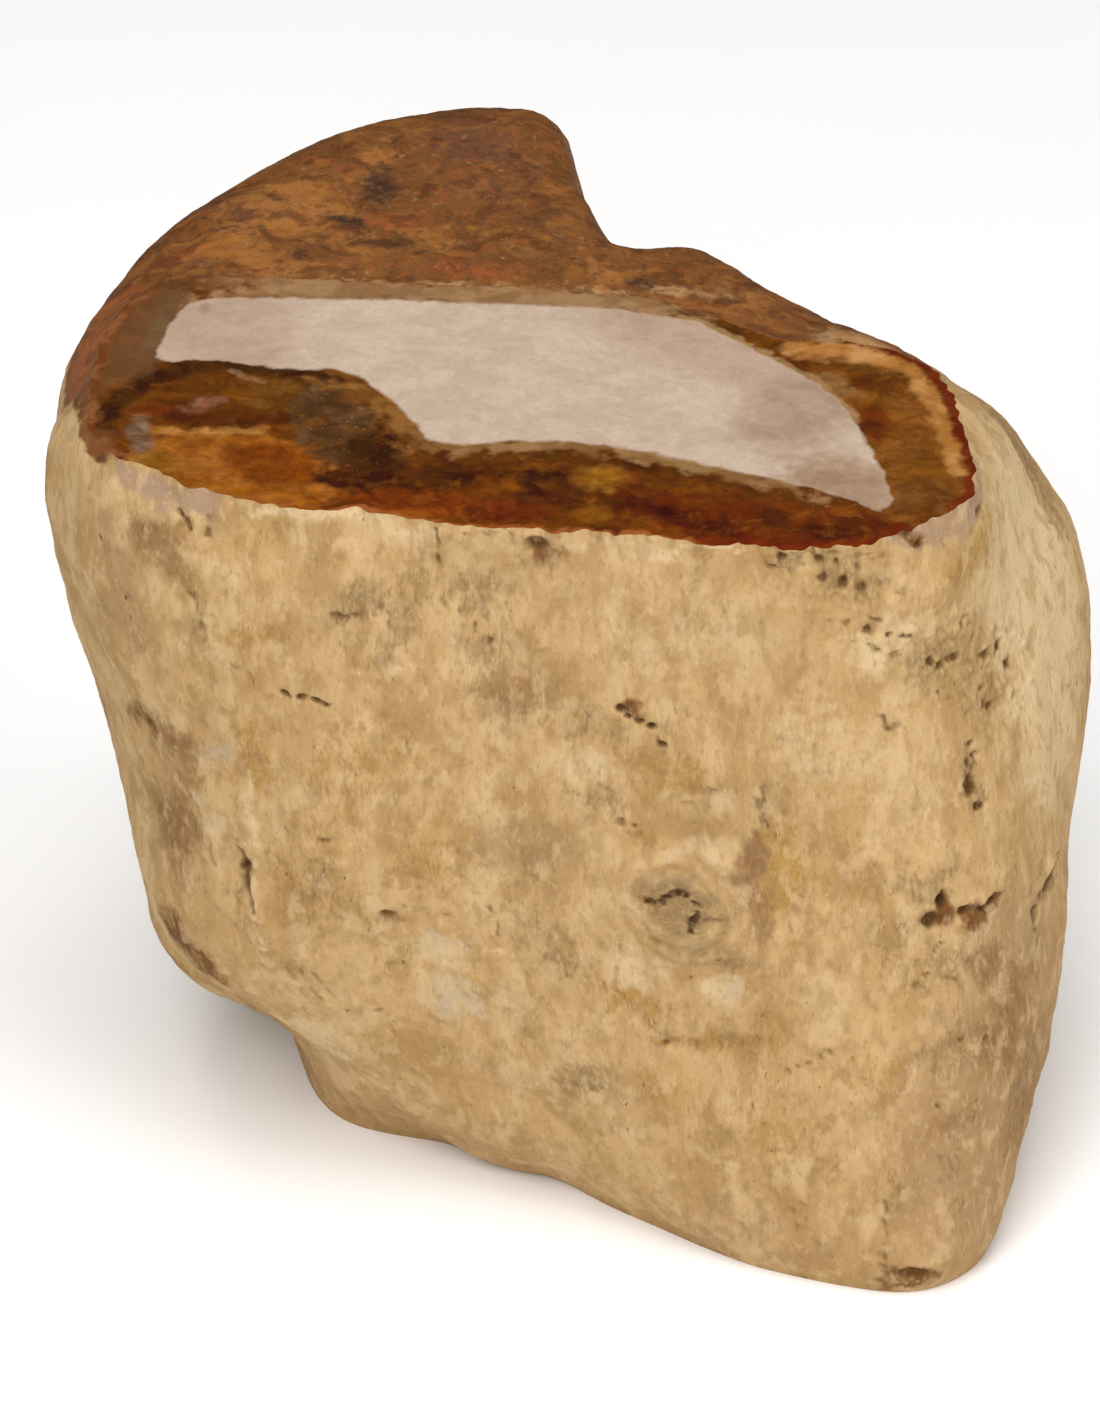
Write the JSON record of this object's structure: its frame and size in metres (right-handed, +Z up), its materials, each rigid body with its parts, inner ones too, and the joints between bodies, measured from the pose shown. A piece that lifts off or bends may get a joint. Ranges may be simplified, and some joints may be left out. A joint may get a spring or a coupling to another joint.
{
  "type": "polished petrified wood",
  "caption": "Free-standing block of petrified wood with rough bark-like sides, a flat polished window on top and a level foot to rest on.",
  "frame": {"origin": "under the middle of the block's bounding box, on the surface that it stands on", "axes": "+Z up, +X to the right along the block's greatest width, -Y towards the knotted bark side that the window leans to"},
  "size_m": [0.1764, 0.1414, 0.1612],
  "materials": {
    "petrified_wood": "rough tan bark outside, polished brown and pale agate window"
  },
  "bodies": {
    "root": {"petrified_wood": "petrified_wood"}
  },
  "joints": []
}
